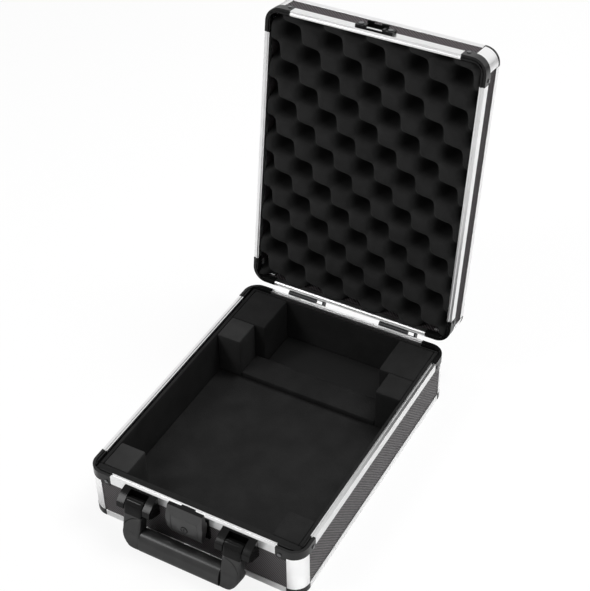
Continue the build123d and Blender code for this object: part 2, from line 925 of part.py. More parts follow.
def housing_screws(bore=0.0):
    """Four screws from the inside into the latch housing."""
    return [
        inside_screw(side * housing_screw_spacing / 2, housing_bottom + rise, front - housing_plate, bore)
        for side in both_sides
        for rise in (housing_screw_low, housing_screw_high)
    ]


def latch_housing():
    """Back plate on the case front with two ears for the latch pin."""
    half = housing_width / 2
    top = housing_bottom + housing_height
    step = base_height - rim_height - fit_gap
    plate = joined([
        block((-half, half), (front - housing_plate, front), (housing_bottom, top)),
        block((-half, half), (front, front + board_inset), (housing_bottom, step)),
    ])
    ear_z = (latch_pin_height - ear_height / 2, latch_pin_height + ear_height / 2)
    ear_y = (latch_pin_y - ear_height / 4, front - housing_plate)
    ears = []
    for side in both_sides:
        x = side * ear_spacing / 2
        ears.append(block((x - ear_thickness / 2, x + ear_thickness / 2), ear_y, ear_z))
    housing = joined([plate] + ears)
    for hole in housing_screws(hole_gap):
        housing -= hole
    bore = (-housing_width / 2, housing_width / 2)
    return housing - rod_x(latch_pin_radius + seat_gap, bore, latch_pin_y, latch_pin_height)


# Catch, built where it stands with the lid shut


def catch_block():
    """Plastic block on the lid front: two screw ears and a cavity for the nose."""
    low = catch_low
    half = catch_width / 2
    box_half = catch_box_width / 2
    cavity_half = catch_cavity_width / 2
    ears = block((-half, half), (front - catch_ear_thickness, front), (low, catch_brow_low))
    brow_z = (catch_brow_low, catch_brow_low + catch_brow_thickness)
    body = block((-box_half, box_half), (front - catch_box_depth, front), (low, brow_z[1]))
    brow = block((-box_half, box_half), (front - catch_brow_depth, front), brow_z)
    catch = joined([ears, body, brow])
    cavity_y = (front - catch_brow_depth, front - catch_back_wall)
    catch -= block((-cavity_half, cavity_half), cavity_y, (low, catch_brow_low))
    notch = (-catch_notch_width / 2, catch_notch_width / 2)
    catch -= block(notch, (front - catch_brow_depth, front - catch_box_depth), brow_z)
    for screw in catch_screws(hole_gap):
        catch -= screw
    return catch - catch_bar(seat_gap)


def catch_bar(gap=0.0):
    """Steel pin across the cavity, which the latch nose hooks over."""
    half = catch_cavity_width / 2 + catch_bar_bite + gap
    z = base_height + catch_bar_height
    return rod_x(catch_bar_radius + gap, (-half, half), front - catch_bar_depth, z)


def catch_screws(bore=0.0):
    """Screws through the ears, the rim and the lid's front board."""
    solids = []
    z = base_height + catch_screw_height
    face = front - catch_ear_thickness
    for side in both_sides:
        x = side * catch_screw_spacing / 2
        shank = rod_y(screw_radius + bore, (face, front + board_inner), x, z)
        if bore:
            solids.append(shank)
        else:
            head = rod_y(screw_head_radius, (face - catch_head_height, face), x, z)
            solids.append(joined([shank, head]))
    return solids


# Assembly


def cut_by(solids, holes):
    """Each solid with all holes taken out."""
    result = []
    for solid in solids:
        for hole in holes:
            solid = solid - hole
        result.append(solid)
    return result


def base_nodes():
    """Everything that stays with the base, by name."""
    pieces = tray(base_height, base_cap_height, tongue=False)
    front_holes = bracket_screws(hole_gap) + housing_screws(hole_gap)
    rear_holes = rivets(-1, hole_gap)
    pieces["board_front"] = cut_by(pieces["board_front"], front_holes)
    pieces["board_rear"] = cut_by(pieces["board_rear"], rear_holes)
    pieces["rims"] = cut_by(pieces["rims"], rear_holes)
    nodes = {"base_" + name: solids for name, solids in pieces.items()}
    nodes["foam_floor"] = [foam_floor()]
    nodes["foam_lining"] = foam_lining()
    nodes.update({name: [pad] for name, pad in foam_pads().items()})
    nodes["foam_block_left"] = [foam_block(-1)]
    nodes["foam_block_right"] = [foam_block(1)]
    nodes["foam_ledge"] = [foam_ledge()]
    leaves = [hinge_leaf(centre, 0, -1, seat_gap) for centre in hinge_centres]
    nodes["hinge_base_leaves"] = cut_by(leaves, rear_holes)
    nodes["hinge_base_rivets"] = rivets(-1)
    pin_half = hinge_length / 2
    nodes["hinge_pins"] = [
        rod_x(hinge_pin_radius, (centre - pin_half, centre + pin_half), hinge_y, hinge_z)
        for centre in hinge_centres
    ]
    for name, centre in zip(("left", "right"), bracket_centres):
        bracket = handle_bracket(centre)
        nodes["handle_bracket_" + name] = cut_by([bracket], bracket_screws(hole_gap))
    nodes["handle_bracket_screws"] = bracket_screws()
    nodes["handle_pivot_pins"] = [pivot_pin(centre) for centre in bracket_centres]
    nodes["latch_housing"] = [latch_housing()]
    nodes["latch_housing_screws"] = housing_screws()
    nodes["latch_pin"] = [latch_pin()]
    return nodes


def lid_nodes():
    """Everything that swings with the lid, in its open place."""
    pieces = tray(lid_height, lid_cap_height, tongue=True)
    pieces = {name: [shut(solid) for solid in solids] for name, solids in pieces.items()}
    # Turning the tray over swaps its front and rear.
    pieces["board_front"], pieces["board_rear"] = pieces["board_rear"], pieces["board_front"]
    front_holes = catch_screws(hole_gap)
    rear_holes = rivets(1, hole_gap)
    pieces["board_front"] = cut_by(pieces["board_front"], front_holes)
    pieces["board_rear"] = cut_by(pieces["board_rear"], rear_holes)
    pieces["rims"] = cut_by(pieces["rims"], front_holes + rear_holes)
    nodes = {"lid_" + name: solids for name, solids in pieces.items()}
    nodes["egg_crate_foam"] = [egg_crate()]
    leaves = [
        joined([hinge_leaf(centre, 1, 1, running_gap), stop_arm(centre)]) for centre in hinge_centres
    ]
    nodes["hinge_lid_leaves"] = cut_by(leaves, rear_holes)
    nodes["hinge_lid_rivets"] = rivets(1)
    nodes["catch_block"] = [catch_block()]
    nodes["catch_bar"] = [catch_bar()]
    nodes["catch_screws"] = catch_screws()
    return {
        name: [turned(solid, hinge_y, hinge_z, -open_angle) for solid in solids]
        for name, solids in nodes.items()
    }


def moving_nodes():
    """Handle, latch rocker and lock."""
    return {
        "handle_arm_left": [hung(handle_arm(-1))],
        "handle_arm_right": [hung(handle_arm(1))],
        "handle_grip": [hung(handle_grip())],
        "handle_core": [hung(handle_core())],
        "latch_cover": [latch_cover()],
        "latch_spring": [latch_spring()],
        "lock_plate": [lock_plate()],
        "lock_rose": [lock_rose()],
        "lock_cylinder": [lock_cylinder()],
        "lock_cam": [lock_cam()],
    }


def write_parts():
    """One file for each named piece or group of like pieces."""
    os.makedirs("parts", exist_ok=True)
    for nodes in (base_nodes(), lid_nodes(), moving_nodes()):
        for name, shapes in nodes.items():
            solids = [solid for shape in shapes for solid in shape.solids()]
            shape = solids[0] if len(solids) == 1 else Compound(solids)
            export_step(shape, f"parts/{name}.step")


write_parts()
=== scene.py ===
# %% [markdown]
# # An open sampler case
# A flat carrying case lies open: thin laminate panels held by aluminium profiles, black
# moulded corners, cut foam in the tray and egg-crate foam in the lid. The measured solids
# come in first, and every piece made here is placed by them, so nothing has to be fitted
# by eye. Sizes are written in millimetres where they describe the object.

# %% Load the measured model
import json
import math

import bmesh
import bpy
import numpy as np
from mathutils import Matrix, Vector


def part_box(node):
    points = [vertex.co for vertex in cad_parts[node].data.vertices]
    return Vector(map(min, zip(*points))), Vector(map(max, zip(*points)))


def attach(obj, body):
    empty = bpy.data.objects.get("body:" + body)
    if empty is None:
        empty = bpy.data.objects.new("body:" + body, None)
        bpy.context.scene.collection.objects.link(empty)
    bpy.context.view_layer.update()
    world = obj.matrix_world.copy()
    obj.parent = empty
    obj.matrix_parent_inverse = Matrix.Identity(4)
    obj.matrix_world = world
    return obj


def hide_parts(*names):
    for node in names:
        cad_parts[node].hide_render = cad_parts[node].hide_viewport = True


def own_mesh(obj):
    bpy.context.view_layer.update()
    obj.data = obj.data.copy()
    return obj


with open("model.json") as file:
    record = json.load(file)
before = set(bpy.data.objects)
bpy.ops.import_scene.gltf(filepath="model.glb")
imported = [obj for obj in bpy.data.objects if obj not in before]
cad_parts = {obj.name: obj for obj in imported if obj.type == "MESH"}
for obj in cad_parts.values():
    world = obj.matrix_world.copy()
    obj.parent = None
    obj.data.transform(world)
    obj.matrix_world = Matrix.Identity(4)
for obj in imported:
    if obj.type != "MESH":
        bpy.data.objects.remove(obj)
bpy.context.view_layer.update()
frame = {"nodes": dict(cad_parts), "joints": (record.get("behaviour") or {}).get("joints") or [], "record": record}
MM = 0.001

# %% [markdown]
# ## The shut lid
# The lid is modelled open, but its ribs and its foam are easiest to describe on the shut
# case, where height is simply up. The hinge's place and the angle it stands open at are
# read from its joint. The height at which base and lid meet is written down once.

# %% Hinge and closing plane
joints = {joint["name"]: joint for joint in frame["joints"]}
hinge_point = Vector(joints["lid_hinge"]["pos_m"])
open_angle = math.radians(joints["lid_hinge"]["range_deg"][1])
closing_plane_mm = 66.0
print("lid open by", round(math.degrees(open_angle), 1), "degrees")

# %% [markdown]
# ## Nodes of a finish
# Each finish on the case is a small network: a pattern in the object's own millimetres,
# a little colour change, and relief. Written out node by node that is long, so one helper
# adds a node and plugs in what it is given, a number or another node's output. The helpers
# after it are the few steps that every finish is made of.


# %% Helpers for the finishes
def add(tree, kind, settings=None, **inputs):
    """A node of a finish; its inputs go by name, or by number as i0, i1 and so on."""
    made = tree.nodes.new("ShaderNode" + kind)
    for key, value in (settings or {}).items():
        setattr(made, key, value)
    for key, value in inputs.items():
        by_number = key[0] == "i" and key[1:].isdigit()
        socket = made.inputs[int(key[1:]) if by_number else key]
        if isinstance(value, bpy.types.NodeSocket):
            tree.links.new(value, socket)
        else:
            socket.default_value = value
    return made


def maths(tree, operation, *values):
    """A sum on up to three values."""
    numbered = {f"i{number}": value for number, value in enumerate(values)}
    return add(tree, "Math", {"operation": operation}, **numbered).outputs["Value"]


def along(tree, where, direction):
    """How far a point lies along a direction."""
    dot = add(tree, "VectorMath", {"operation": "DOT_PRODUCT"}, i0=where, i1=direction)
    return dot.outputs["Value"]


def height_of(tree, where):
    """The upward part of a place."""
    return add(tree, "SeparateXYZ", Vector=where).outputs["Z"]


def blend(tree, share, first, second):
    """A value between two values."""
    return add(tree, "Mix", {"data_type": "FLOAT"}, i0=share, i2=first, i3=second).outputs[0]


def blend_colour(tree, share, first, second, how="MIX"):
    """A colour between two colours, or the two combined in another way."""
    settings = {"data_type": "RGBA", "blend_type": how}
    return add(tree, "Mix", settings, i0=share, i6=first, i7=second).outputs[2]


def noise(tree, where, size_mm, detail=2.0):
    """Cloudy pattern whose patches are about size_mm across."""
    scale = 1 / (size_mm * MM)
    return add(tree, "TexNoise", Vector=where, Scale=scale, Detail=detail).outputs["Fac"]


def spread(tree, value, low, high, start=0.0, end=1.0):
    """A pattern that runs from start to end brought to the range low to high."""
    ends = {"From Min": start, "From Max": end, "To Min": low, "To Max": high}
    return add(tree, "MapRange", Value=value, **ends).outputs["Result"]


def tint(tree, value, dark, light):
    """Colour that runs from dark to light with a pattern's usual range."""
    ramp = add(tree, "ValToRGB", Fac=value)
    ends = ramp.color_ramp.elements
    ends[0].position, ends[0].color = 0.3, (*dark, 1)
    ends[1].position, ends[1].color = 0.7, (*light, 1)
    return ramp.outputs["Color"]


def relief(tree, height, depth_mm, strength=1.0, below=None):
    """Small surface relief; below is relief that it lies on."""
    bump = add(tree, "Bump", Height=height, Distance=depth_mm * MM, Strength=strength)
    if below is not None:
        tree.links.new(below, bump.inputs["Normal"])
    return bump.outputs["Normal"]


def new_finish(name):
    """An empty finish, its tree, its shader and the object's own coordinates."""
    finish = bpy.data.materials.new(name)
    finish.use_nodes = True
    tree = finish.node_tree
    where = add(tree, "TexCoord").outputs["Object"]
    return finish, tree, tree.nodes["Principled BSDF"], where


# %% [markdown]
# ## Black moulded plastic
# Corners, handle and latch are injection moulded. The mould is finely eroded, so the skin
# has a faint grain, and handling leaves it a little uneven in gloss. A flat grey would
# look like card, so the grain is relief and the gloss follows a slow cloud pattern. The
# latch is the palest and dullest. The glossy black is for pieces that shine more, and it
# also paints shade on the catch and on the top of the latch's cover.


# %% Plastic finishes
def moulded(name, dark, light, gloss, grain_mm, grain_depth_mm, shine):
    """Moulded plastic: two greys, roughness range, grain and strength of its shine."""
    finish, tree, shader, where = new_finish(name)
    cloud = noise(tree, where, 14, 3)
    tree.links.new(tint(tree, cloud, (dark,) * 3, (light,) * 3), shader.inputs["Base Color"])
    tree.links.new(spread(tree, cloud, *gloss), shader.inputs["Roughness"])
    grain = noise(tree, where, grain_mm, 1)
    tree.links.new(relief(tree, grain, grain_depth_mm, 0.5), shader.inputs["Normal"])
    shader.inputs["Specular IOR Level"].default_value = shine
    return finish


finishes = {
    "corner_plastic": moulded("corner_plastic", 0.006, 0.009, (0.2, 0.3), 0.8, 0.03, 0.24),
    "handle_plastic": moulded("handle_plastic", 0.016, 0.022, (0.26, 0.36), 0.6, 0.03, 0.34),
    "latch_plastic": moulded("latch_plastic", 0.030, 0.040, (0.34, 0.44), 0.6, 0.05, 0.4),
}
gloss_black_and_painted_shade = moulded("gloss_black_and_painted_shade", 0.003, 0.005, (0.12, 0.18), 0.9, 0.01, 0.12)
print("plastics", sorted(finishes))

# %% [markdown]
# ## Metals
# The rims, posts and edge strips are satin anodised aluminium. The screws are plated
# steel, and the hinges and the lock are blackened. All are one network with another
# colour, gloss and line size. The posts are the same aluminium, but they catch more
# light than the rims, so they get a paler copy of it: painted light.


# %% Metal finishes
def drawn_metal(name, colour, gloss, stretch, depth_mm):
    """Metal with fine lines, longer along the axes with a small stretch."""
    finish, tree, shader, where = new_finish(name)
    shader.inputs["Metallic"].default_value = 1.0
    lines_at = add(tree, "Mapping", Vector=where, Scale=stretch).outputs["Vector"]
    lines = noise(tree, lines_at, 0.5, 2)
    dull = tuple(value * 0.94 for value in colour)
    patches = noise(tree, where, 22, 2)
    tree.links.new(tint(tree, patches, dull, colour), shader.inputs["Base Color"])
    tree.links.new(spread(tree, lines, *gloss), shader.inputs["Roughness"])
    tree.links.new(relief(tree, lines, depth_mm, 0.3), shader.inputs["Normal"])
    return finish


even, coarse, lengthwise = (1, 1, 1), (0.2, 0.2, 0.2), (0.1, 1, 1)
satin = (0.3, 0.42)
for name, colour, gloss, stretch, depth_mm in (
    ("rim_metal", (0.88, 0.88, 0.88), satin, coarse, 0.008),
    ("screw_steel", (0.16, 0.16, 0.165), (0.25, 0.4), even, 0.02),
    ("hinge_steel", (0.045, 0.045, 0.046), (0.35, 0.5), lengthwise, 0.02),
    ("core_steel", (0.5, 0.5, 0.5), (0.35, 0.5), lengthwise, 0.02),
    ("lock_metal", (0.07, 0.07, 0.07), satin, even, 0.02),
):
    finishes[name] = drawn_metal(name, colour, gloss, stretch, depth_mm)
# A paler copy of the rims' aluminium for the posts, painted light.
post_metal_painted_light = drawn_metal("post_metal_painted_light", (0.95, 0.95, 0.95), satin, coarse, 0.01)
print("metals", [name for name in finishes if "metal" in name or "steel" in name])

# %% [markdown]
# ## Ribbed laminate
# The panels carry a dark laminate with fine diagonal ribs just under three millimetres
# apart. The ribs are one slanted sine across the whole case, so they meet round the
# corners. The lid's ribs belong to the shut lid, so its finish turns the coordinates back
# first. The floor board is ribbed below and lined with plain felt above.

# %% Laminate finishes
rib_pitch_mm = 2.85
rib_slope = math.radians(45)
rib_dark, rib_light = (0.010, 0.009, 0.0095), (0.090, 0.080, 0.084)
rib_depth_mm = 0.3
felt_black = (0.012, 0.012, 0.012, 1)
felt_above_mm = 4.5


def laminate(name, turned_by, shine, gloss, lined_above_mm=None):
    """Dark laminate with slanted ribs, on a shell turned about the hinge."""
    finish, tree, shader, where = new_finish(name)
    if turned_by:
        turn = (turned_by, 0, 0)
        where = add(tree, "Mapping", Vector=where, Rotation=turn).outputs["Vector"]
    slant = (math.sin(rib_slope), math.sin(rib_slope), math.cos(rib_slope))
    waves = 2 * math.pi / (rib_pitch_mm * MM)
    phase = maths(tree, "MULTIPLY", along(tree, where, slant), waves)
    ribs = spread(tree, maths(tree, "SINE", phase), 0.0, 1.0, -1.0, 1.0)
    lined = None
    if lined_above_mm is not None:
        lined = maths(tree, "GREATER_THAN", height_of(tree, where), lined_above_mm * MM)
        ribs = blend(tree, lined, ribs, 0.5)
    grain = noise(tree, where, 0.5, 2)
    tone = maths(tree, "MULTIPLY", maths(tree, "MULTIPLY_ADD", grain, 0.35, ribs), 0.75)
    colour = tint(tree, tone, rib_dark, rib_light)
    if lined is not None:
        colour = blend_colour(tree, lined, colour, felt_black)
    tree.links.new(colour, shader.inputs["Base Color"])
    patches = noise(tree, where, 9, 2)
    tree.links.new(spread(tree, patches, *gloss), shader.inputs["Roughness"])
    shader.inputs["Specular IOR Level"].default_value = shine
    fine = relief(tree, grain, 0.03, 0.4)
    tree.links.new(relief(tree, ribs, rib_depth_mm, 0.9, fine), shader.inputs["Normal"])
    return finish


finishes["laminate"] = laminate("laminate", 0, 0.4, (0.42, 0.56))
lid_laminate = laminate("laminate_lid", open_angle, 0.08, (0.6, 0.7))
lined_laminate = laminate("laminate_lined", 0, 0.3, (0.5, 0.6), felt_above_mm)
print("ribs every", rib_pitch_mm, "mm")

# %% [markdown]
# ## Foam
# The foam is black polyurethane with open pores well under a millimetre. Light sinks into
# it, so it hardly shines at all. Pores are relief from a cell pattern, and the cut faces
# get slow patches of tone, because foam is never dyed or cut quite evenly.
#
# Egg-crate foam lets less light out of its pits than a flat face does, so there painted
# shade also darkens the tone with the depth behind the shut lid's closing plane.

# %% Foam finishes
pore_mm, pore_depth_mm = 0.9, 0.6
pit_mm = 24.7
pit_shade_tones = ((0.0, 0.8), (0.25, 1.0), (0.6, 0.3), (1.0, 0.05))


def foam(name, dark, light, shade=None):
    """Matt open-pored foam of two greys; shade, when given, paints shade into its colour by place."""
    finish, tree, shader, where = new_finish(name)
    scale = 1 / (pore_mm * MM)
    pores = add(tree, "TexVoronoi", Vector=where, Scale=scale).outputs["Distance"]
    patches = noise(tree, where, 26, 3)
    speckle = noise(tree, where, 0.8, 1)
    tone = maths(tree, "MULTIPLY", maths(tree, "MULTIPLY_ADD", speckle, 0.5, patches), 0.66)
    colour = tint(tree, tone, (dark,) * 3, (light,) * 3)
    if shade:
        colour = shade(tree, where, colour)
    tree.links.new(colour, shader.inputs["Base Color"])
    shader.inputs["Roughness"].default_value = 0.95
    shader.inputs["Specular IOR Level"].default_value = 0.12
    tree.links.new(relief(tree, pores, pore_depth_mm, 0.6), shader.inputs["Normal"])
    return finish


def painted_pit_shade(tree, where, colour):
    """Painted shade: the colour falls towards black down the pits of the lid's foam."""
    into_lid = Vector((0, math.sin(open_angle), math.cos(open_angle)))
    plane = into_lid.dot(hinge_point) + closing_plane_mm * MM - hinge_point.z
    depth = spread(tree, along(tree, where, into_lid), 0.0, 1.0, plane, plane + pit_mm * MM)
    fall = add(tree, "ValToRGB", Fac=depth)
    steps = fall.color_ramp.elements
    for place, _ in pit_shade_tones[1:-1]:
        steps.new(place)
    for step, (_, grey) in zip(steps, pit_shade_tones):
        step.color = (grey, grey, grey, 1)
    return blend_colour(tree, 1.0, colour, fall.outputs["Color"], "MULTIPLY")


finishes["foam_dark"] = foam("foam_dark", 0.012, 0.020)
pad_foam = foam("foam_pads", 0.022, 0.036)
# The egg-crate's foam, with painted shade down its pits.
pit_shaded_foam = foam("foam_painted_pit_shade", 0.022, 0.034, painted_pit_shade)
print("finishes", len(bpy.data.materials))

# %% [markdown]
# ## Dressing the measured solids
# The record says which finish each solid takes. A solid whose shape is already right only
# needs that finish; the lid's panels take the turned-back laminate and the floor board the
# lined one.


# %% Give every solid its finish
def dress(piece, finish):
    """The piece shows this finish alone."""
    piece.data.materials.clear()
    piece.data.materials.append(finish)


slots = {part["node"]: part["material_slot"] for part in frame["record"]["subparts"]}
for name, solid in frame["nodes"].items():
    on_lid = name.startswith("lid_") and slots[name] == "laminate"
    dress(solid, lid_laminate if on_lid else finishes[slots[name]])
dress(frame["nodes"]["base_board_main"], lined_laminate)
print("dressed", len(slots), "solids")

# %% [markdown]
# ## Softened edges
# No real edge is knife sharp, and the thin highlight along a rounded one is what makes
# plastic and metal look solid. A copy of the solid is welded and its flat faces joined,
# then a bevel rounds every edge that turns by more than thirty degrees. It stands in the
# same place and rides on the same body, so it can replace the crisp solid.

# %% Copies with softened edges
bevel_above = math.radians(30.0)
flat_below = math.radians(0.5)
weld_m = 1e-6
bodies = {
    name: body for body, names in frame["record"]["behaviour"]["bodies"].items() for name in names
}


def piece_from(name, mesh, body, slot, *stood_for):
    """A new piece of the case on its body, in its finish, in place of solids."""
    piece = bpy.data.objects.new(name, mesh)
    bpy.context.scene.collection.objects.link(piece)
    dress(piece, finishes[slot])
    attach(piece, body)
    if stood_for:
        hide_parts(*stood_for)
    return piece


def free_normals(mesh):
    """Drops the shading that a mesh was loaded with, so that it follows the new form."""
    custom = mesh.attributes.get("custom_normal")
    if custom:
        mesh.attributes.remove(custom)


def all_smooth(mesh):
    """Shades every face of a mesh smoothly."""
    mesh.polygons.foreach_set("use_smooth", [True] * len(mesh.polygons))


def softened(name, edge_mm):
    """The solid called name with its edges rounded by edge_mm."""
    form = bmesh.new()
    form.from_mesh(frame["nodes"][name].data)
    bmesh.ops.remove_doubles(form, verts=form.verts, dist=weld_m)
    bmesh.ops.dissolve_limit(form, angle_limit=flat_below, verts=form.verts, edges=form.edges)
    bmesh.ops.recalc_face_normals(form, faces=form.faces)
    mesh = bpy.data.meshes.new(name + "_soft")
    form.to_mesh(mesh)
    form.free()
    all_smooth(mesh)
    free_normals(mesh)
    piece = piece_from(name + "_soft", mesh, bodies[name], slots[name], name)
    bevel = piece.modifiers.new("edges", "BEVEL")
    bevel.width = edge_mm * MM
    bevel.segments = 2
    bevel.limit_method = "ANGLE"
    bevel.angle_limit = bevel_above
    bevel.harden_normals = True
    return piece


edge_sizes = {
    "base_rim_corners": 0.7, "lid_rim_corners": 0.7,
    "base_corner_caps": 0.6, "lid_corner_caps": 0.6,
    "base_corner_posts": 0.25, "lid_corner_posts": 0.25,
    "base_rims": 0.25, "lid_rims": 0.25,
    "base_edge_trims": 0.25, "lid_edge_trims": 0.25,
    "hinge_base_leaves": 0.2, "hinge_lid_leaves": 0.2,
    "handle_bracket_left": 1.6, "handle_bracket_right": 1.6,
    "handle_grip": 0.4,
    "latch_cover": 0.5, "lock_plate": 0.4, "latch_housing": 0.4,
    "catch_block": 0.5, "lock_cylinder": 0.2, "lock_rose": 0.25,
}
soft = {name: softened(name, size) for name, size in edge_sizes.items()}
print("softened", len(soft), "solids")

# %% [markdown]
# ## Glossy pieces
# Some mouldings are plainly blacker and glossier than the rest: the handle's brackets,
# the latch's housing and the lock's rose. The catch and the top of the latch's cover take
# the same glossy black as painted shade. The posts take a paler metal, painted light.

# %% Gloss, painted shade and painted light on the posts
gloss_and_painted_shade_nodes = (
    "handle_bracket_left", "handle_bracket_right", "latch_housing", "lock_rose", "catch_block",
)
painted_top_shade_above = 0.7
# The catch among these takes the glossy black as painted shade.
for name in gloss_and_painted_shade_nodes:
    dress(soft[name], gloss_black_and_painted_shade)
# The posts take the paler aluminium, painted light.
for name in ("base_corner_posts", "lid_corner_posts"):
    dress(soft[name], post_metal_painted_light)
# The up-facing faces of the latch's cover take the glossy black: painted shade on its top.
cover = soft["latch_cover"].data
cover.materials.append(gloss_black_and_painted_shade)
for face in cover.polygons:
    if face.normal.z > painted_top_shade_above:
        face.material_index = 1
print("glossy", len(gloss_and_painted_shade_nodes), "solids")

# %% [markdown]
# ## Return spring
# The spring behind the latch shortens as the latch is pressed in. A rigid copy would stab
# through the front board; here the spring is a softened copy with a mesh of its own.

# %% Spring with its own mesh
spring = softened("latch_spring", 0.1)
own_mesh(spring)

# %% [markdown]
# ## Handle arms
# The arms are thick mouldings with no flat corners: every edge rolls over by several
# millimetres. A bevel can't do that across the short facets of the hub, so the solid is
# turned into a fine skin of small even cells and smoothed, which melts all its edges
# alike. Each arm also shows the fine curved joint line of its front plate, which is cut in
# as a shallow groove after that. The hub, down to a little below the pivot, takes the
# darker glossy black.
#
# The line is described on a handle that hangs straight down: x from the middle of the
# case, y forward and the drop below the pivot. The arm's face leans back above its knee,
# and the floor of the groove follows it.

# %% Sizes of the arms
handle_pivot = Vector(joints["handle_pivot"]["pos_m"])
handle_lean = math.radians(11.7)
hang = Matrix.Translation(handle_pivot) @ Matrix.Rotation(-handle_lean, 4, "X")
upright = hang.inverted()
hub_gloss_drop_mm = 7.0
skin_cell_mm = 0.7
melt_strength, melt_rounds = 0.5, 45
seam_radius_mm, seam_width_mm, seam_depth_mm = 20.8, 1.1, 1.6
seam_middle_x_mm, seam_middle_drop_mm = 50.0, 29.0
seam_start, seam_sweep, seam_steps = -15, 120, 24
arm_face_mm, arm_knee_drop_mm, arm_lean_back = 8.5, 34.85, 0.07
cutter_ahead_mm = 3.0
print("handle pivot", [round(value / MM, 1) for value in handle_pivot], "mm")


# %% Melted arms
def seam_ring(form, side, radius, at_floor):
    """One edge of the joint line's cutter, on the groove's floor or ahead of the arm."""
    ring = []
    for step in range(seam_steps + 1):
        angle = math.radians(seam_start + seam_sweep * step / seam_steps)
        x = side * (seam_middle_x_mm + radius * math.sin(angle))
        drop = seam_middle_drop_mm - radius * math.cos(angle)
        y = -arm_face_mm - cutter_ahead_mm
        if at_floor:
            above_knee = max(0.0, arm_knee_drop_mm - drop)
            y = -arm_face_mm + seam_depth_mm + arm_lean_back * above_knee
        ring.append(form.verts.new(Vector((x, y, -drop)) * MM))
    return ring


def ring_cutter(side):
    """Thin ring that cuts the joint line into one arm's front."""
    form = bmesh.new()
    inner, outer = (seam_radius_mm + half * seam_width_mm / 2 for half in (-1, 1))
    inner_out, inner_in, outer_out, outer_in = (
        seam_ring(form, side, radius, at_floor)
        for radius in (inner, outer) for at_floor in (False, True)
    )
    around = (inner_out, inner_in, outer_in, outer_out)
    for a, b in zip(around, around[1:] + around[:1]):
        for n in range(seam_steps):
            form.faces.new((a[n], a[n + 1], b[n + 1], b[n]))
    for end in (0, seam_steps):
        form.faces.new([ring[end] for ring in around])
    bmesh.ops.recalc_face_normals(form, faces=form.faces)
    form.transform(hang)
    mesh = bpy.data.meshes.new("ring_cutter")
    form.to_mesh(mesh)
    form.free()
    cutter = bpy.data.objects.new("ring_cutter", mesh)
    bpy.context.scene.collection.objects.link(cutter)
    return cutter


def baked(piece):
    """The piece's modifiers become its mesh."""
    bpy.context.view_layer.update()
    seen_form = piece.evaluated_get(bpy.context.evaluated_depsgraph_get())
    mesh = bpy.data.meshes.new_from_object(seen_form)
    piece.modifiers.clear()
    piece.data = mesh


def melted(name, side):
    """The mesh of one arm with melted edges and its joint line."""
    mesh = frame["nodes"][name].data.copy()
    free_normals(mesh)
    arm = bpy.data.objects.new(name + "_melted", mesh)
    bpy.context.scene.collection.objects.link(arm)
    weld = arm.modifiers.new("weld", "WELD")
    weld.merge_threshold = weld_m
    skin = arm.modifiers.new("skin", "REMESH")
    skin.mode, skin.voxel_size, skin.use_smooth_shade = "VOXEL", skin_cell_mm * MM, True
    melt = arm.modifiers.new("melt", "SMOOTH")
    melt.factor, melt.iterations = melt_strength, melt_rounds
    baked(arm)
    cutter = ring_cutter(side)
    cut = arm.modifiers.new("joint_line", "BOOLEAN")
    cut.operation, cut.object, cut.solver = "DIFFERENCE", cutter, "EXACT"
    baked(arm)
    mesh = arm.data
    for used in (cutter, arm):
        bpy.data.objects.remove(used)
    all_smooth(mesh)
    return mesh


for name, side in (("handle_arm_left", -1), ("handle_arm_right", 1)):
    mesh = melted(name, side)
    piece_from(name + "_melted", mesh, "handle", "handle_plastic", name)
    # The hub near the pivot takes the darker glossy black.
    mesh.materials.append(gloss_black_and_painted_shade)
    for face in mesh.polygons:
        if (upright @ face.center).z > -hub_gloss_drop_mm * MM:
            face.material_index = 1
    print(name, "faces", len(mesh.polygons))

# %% [markdown]
# ## Cut foam
# The blocks in the tray are cut from sheet with a saw, so their faces are flat but their
# edges are soft and never quite straight. Each block starts as the box of its solid, gets
# rounded edges and a fine grid, and then a smooth noise presses its faces in by up to a
# third of a millimetre. It only ever presses in, so blocks don't cross.

# %% Sizes of the foam blocks
foam_cell_mm, most_cells = 6.0, 70
foam_round_mm, thin_round_mm = 1.7, 1.1
foam_press_mm, press_size_mm, press_seed = 0.35, 9, 3
noise_waves, noise_calm = 6, 3.5
paler_pads = ("foam_pad_rear_left", "foam_pad_front_left")


# %% Foam blocks
def slow_noise(points, size_mm, seed):
    """Smooth values of about -1 to 1 over space, from a few slanted waves."""
    random = np.random.default_rng(seed)
    total = np.zeros(len(points))
    for _ in range(noise_waves):
        wave = random.normal(size=3) / (size_mm * MM)
        total += np.sin(points @ wave + random.uniform(0, 2 * np.pi))
    return total / noise_calm


def add_block(form, low, high, round_mm):
    """Adds the gridded skin of one box with rounded edges to a form."""
    size = [b - a for a, b in zip(low, high)]
    near = min(round_mm * MM, min(size) * 0.35)
    core_low, core_high = np.array(low) + near, np.array(high) - near
    steps = []
    for length, start, end in zip(size, low, high):
        count = int(max(2, min(most_cells, round(length / (foam_cell_mm * MM)))))
        inner = np.linspace(start + near, end - near, count)
        steps.append([start, start + near * 0.3, *inner, end - near * 0.3, end])
    verts = {}

    def vertex_at(index):
        if index not in verts:
            point = np.array([step[place] for step, place in zip(steps, index)])
            core = np.clip(point, core_low, core_high)
            away = point - core
            length = np.linalg.norm(away)
            if length > np.abs(away).max() > 0:
                point = core + away / length * near
            verts[index] = form.verts.new(point)
        return verts[index]

    for axis in range(3):
        first, second = [other for other in range(3) if other != axis]
        for end in (0, len(steps[axis]) - 1):
            for a in range(len(steps[first]) - 1):
                for b in range(len(steps[second]) - 1):
                    corners = []
                    for da, db in ((0, 0), (1, 0), (1, 1), (0, 1)):
                        index = [0, 0, 0]
                        index[axis], index[first], index[second] = end, a + da, b + db
                        corners.append(vertex_at(tuple(index)))
                    form.faces.new(corners)


